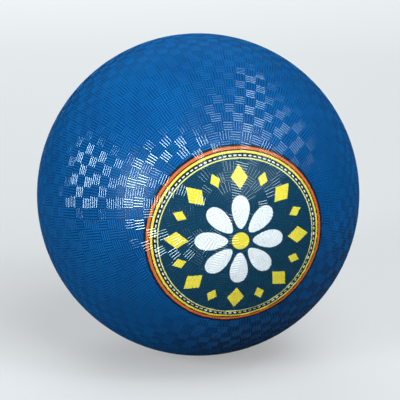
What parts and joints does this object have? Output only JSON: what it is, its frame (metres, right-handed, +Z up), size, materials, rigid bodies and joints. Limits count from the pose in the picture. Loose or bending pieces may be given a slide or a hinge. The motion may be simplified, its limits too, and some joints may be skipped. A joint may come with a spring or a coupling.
{
  "type": "playground ball",
  "caption": "Blue rubber playground ball with a fine basketweave grip texture, a round printed badge and an inflation valve.",
  "frame": {"origin": "the ball's centre", "axes": "-Y out of the printed side, +Y out of the valve, along the axis that every layer is turned about, +Z up, +X to the right seen from the printed side"},
  "size_m": [0.2164, 0.2163, 0.2164],
  "materials": {
    "cover_rubber": "semi-gloss blue rubber, moulded with a basketweave of fine ribs",
    "bladder_rubber": "plain black butyl rubber",
    "valve_rubber": "smooth black rubber",
    "plug_rubber": "smooth dark grey rubber"
  },
  "bodies": {
    "ball": {"cover_front_half": "cover_rubber", "cover_back_half": "cover_rubber", "bladder": "bladder_rubber", "valve_housing": "valve_rubber", "valve_patch": "bladder_rubber"},
    "plug": {"valve_plug": "plug_rubber"}
  },
  "joints": [
    {"name": "plug_slide", "type": "slide", "parent": "ball", "child": "plug", "axis": [0, 1, 0], "range_m": [0, 0.025]}
  ]
}
